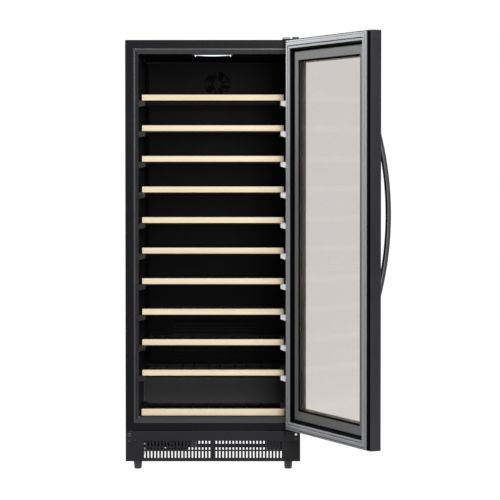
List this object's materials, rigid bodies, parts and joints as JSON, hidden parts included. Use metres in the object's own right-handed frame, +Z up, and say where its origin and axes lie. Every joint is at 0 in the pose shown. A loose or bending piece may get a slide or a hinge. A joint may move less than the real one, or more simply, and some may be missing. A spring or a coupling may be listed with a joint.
{
  "type": "wine cooler",
  "caption": "Upright insulated wine cooler with a glazed door on the right, pull-out wire racks with timber fronts, a bow handle and a slotted kick plate on levelling feet.",
  "frame": {"origin": "on the floor, under the middle of the cabinet's front plane", "axes": "+X to the right seen from the front, towards the hinges; +Y from the front to the back; +Z up"},
  "size_m": [0.8699, 1.1463, 1.473],
  "materials": {
    "black_paint": "satin",
    "back_paint": "satin",
    "foam": "matte",
    "liner_plastic": "satin",
    "black_plastic": "satin",
    "galvanised": "matte",
    "hinge_plating": "satin",
    "lamp_cover": "frosted, lit from inside",
    "fin_aluminium": "satin",
    "rail_steel": "satin",
    "rack_wire": "satin powder coat",
    "beech": "clear matte varnish",
    "copper": "dull",
    "door_metal": "satin, dark",
    "gasket_rubber": "matte",
    "door_glass": "clear, grey tint",
    "handle_metal": "satin, dark",
    "bush_nylon": "matte",
    "foot_plastic": "matte"
  },
  "bodies": {
    "cabinet": {"outer_shell": "black_paint", "back_panel": "back_paint", "insulation": "foam", "inner_liner": "liner_plastic", "step_panel": "galvanised", "base_plate": "galvanised", "side_runners": "galvanised", "kick_grille": "black_paint", "hinge_top": "hinge_plating", "hinge_bottom": "black_paint", "hinge_screws": "hinge_plating", "lamp_housing": "black_plastic", "lamp_lens": "lamp_cover", "duct_cover": "liner_plastic", "evaporator": "fin_aluminium", "evaporator_fan_motor": "black_plastic", "rack_rails": "rail_steel", "condenser": "black_paint", "fan_shroud": "black_plastic", "compressor": "black_paint", "drip_tray": "black_plastic", "refrigerant_pipes": "copper", "control_box": "black_plastic", "power_inlet": "black_plastic"},
    "door": {"door_frame": "door_metal", "door_liner": "black_plastic", "gasket": "gasket_rubber", "outer_pane": "door_glass", "inner_pane": "door_glass", "spacer": "fin_aluminium", "handle": "handle_metal", "hinge_bushes": "bush_nylon"},
    "rack_01": {"rack_front_01": "beech", "rack_frame_01": "rack_wire"},
    "rack_02": {"rack_front_02": "beech", "rack_frame_02": "rack_wire"},
    "rack_03": {"rack_front_03": "beech", "rack_frame_03": "rack_wire"},
    "rack_04": {"rack_front_04": "beech", "rack_frame_04": "rack_wire"},
    "rack_05": {"rack_front_05": "beech", "rack_frame_05": "rack_wire"},
    "rack_06": {"rack_front_06": "beech", "rack_frame_06": "rack_wire"},
    "rack_07": {"rack_front_07": "beech", "rack_frame_07": "rack_wire"},
    "rack_08": {"rack_front_08": "beech", "rack_frame_08": "rack_wire"},
    "rack_09": {"rack_front_09": "beech", "rack_frame_09": "rack_wire"},
    "rack_10": {"rack_front_10": "beech", "rack_frame_10": "rack_wire"},
    "rack_11": {"rack_front_11": "beech", "rack_frame_11": "rack_wire"},
    "evaporator_fan_rotor": {"evaporator_fan": "black_plastic"},
    "condenser_fan_rotor": {"condenser_fan": "black_plastic"},
    "foot_front_left": {"foot_front_left": "foot_plastic"},
    "foot_front_right": {"foot_front_right": "foot_plastic"},
    "foot_rear_left": {"foot_rear_left": "foot_plastic"},
    "foot_rear_right": {"foot_rear_right": "foot_plastic"}
  },
  "joints": [
    {"name": "door_hinge", "type": "hinge", "parent": "cabinet", "child": "door", "pos_m": [0.2805, -0.0342, 0], "axis": [0, 0, 1], "range_deg": [-114.4, 5.6]},
    {"name": "rack_01_slide", "type": "slide", "parent": "cabinet", "child": "rack_01", "axis": [0, -1, 0], "range_m": [0, 0.25]},
    {"name": "rack_02_slide", "type": "slide", "parent": "cabinet", "child": "rack_02", "axis": [0, -1, 0], "range_m": [0, 0.25]},
    {"name": "rack_03_slide", "type": "slide", "parent": "cabinet", "child": "rack_03", "axis": [0, -1, 0], "range_m": [0, 0.25]},
    {"name": "rack_04_slide", "type": "slide", "parent": "cabinet", "child": "rack_04", "axis": [0, -1, 0], "range_m": [0, 0.25]},
    {"name": "rack_05_slide", "type": "slide", "parent": "cabinet", "child": "rack_05", "axis": [0, -1, 0], "range_m": [0, 0.25]},
    {"name": "rack_06_slide", "type": "slide", "parent": "cabinet", "child": "rack_06", "axis": [0, -1, 0], "range_m": [0, 0.25]},
    {"name": "rack_07_slide", "type": "slide", "parent": "cabinet", "child": "rack_07", "axis": [0, -1, 0], "range_m": [0, 0.25]},
    {"name": "rack_08_slide", "type": "slide", "parent": "cabinet", "child": "rack_08", "axis": [0, -1, 0], "range_m": [0, 0.25]},
    {"name": "rack_09_slide", "type": "slide", "parent": "cabinet", "child": "rack_09", "axis": [0, -1, 0], "range_m": [0, 0.25]},
    {"name": "rack_10_slide", "type": "slide", "parent": "cabinet", "child": "rack_10", "axis": [0, -1, 0], "range_m": [0, 0.25]},
    {"name": "rack_11_slide", "type": "slide", "parent": "cabinet", "child": "rack_11", "axis": [0, -1, 0], "range_m": [0, 0.16]},
    {"name": "evaporator_fan_spin", "type": "hinge", "parent": "cabinet", "child": "evaporator_fan_rotor", "pos_m": [0.008, 0.5, 1.33], "axis": [0, 1, 0], "continuous": true},
    {"name": "condenser_fan_spin", "type": "hinge", "parent": "cabinet", "child": "condenser_fan_rotor", "pos_m": [-0.16, 0.092, 0.092], "axis": [0, 1, 0], "continuous": true},
    {"name": "foot_front_left_turn", "type": "hinge", "parent": "cabinet", "child": "foot_front_left", "pos_m": [-0.257, 0.03, 0], "axis": [0, 0, 1], "continuous": true},
    {"name": "foot_front_right_turn", "type": "hinge", "parent": "cabinet", "child": "foot_front_right", "pos_m": [0.257, 0.03, 0], "axis": [0, 0, 1], "continuous": true},
    {"name": "foot_rear_left_turn", "type": "hinge", "parent": "cabinet", "child": "foot_rear_left", "pos_m": [-0.257, 0.535, 0], "axis": [0, 0, 1], "continuous": true},
    {"name": "foot_rear_right_turn", "type": "hinge", "parent": "cabinet", "child": "foot_rear_right", "pos_m": [0.257, 0.535, 0], "axis": [0, 0, 1], "continuous": true}
  ]
}
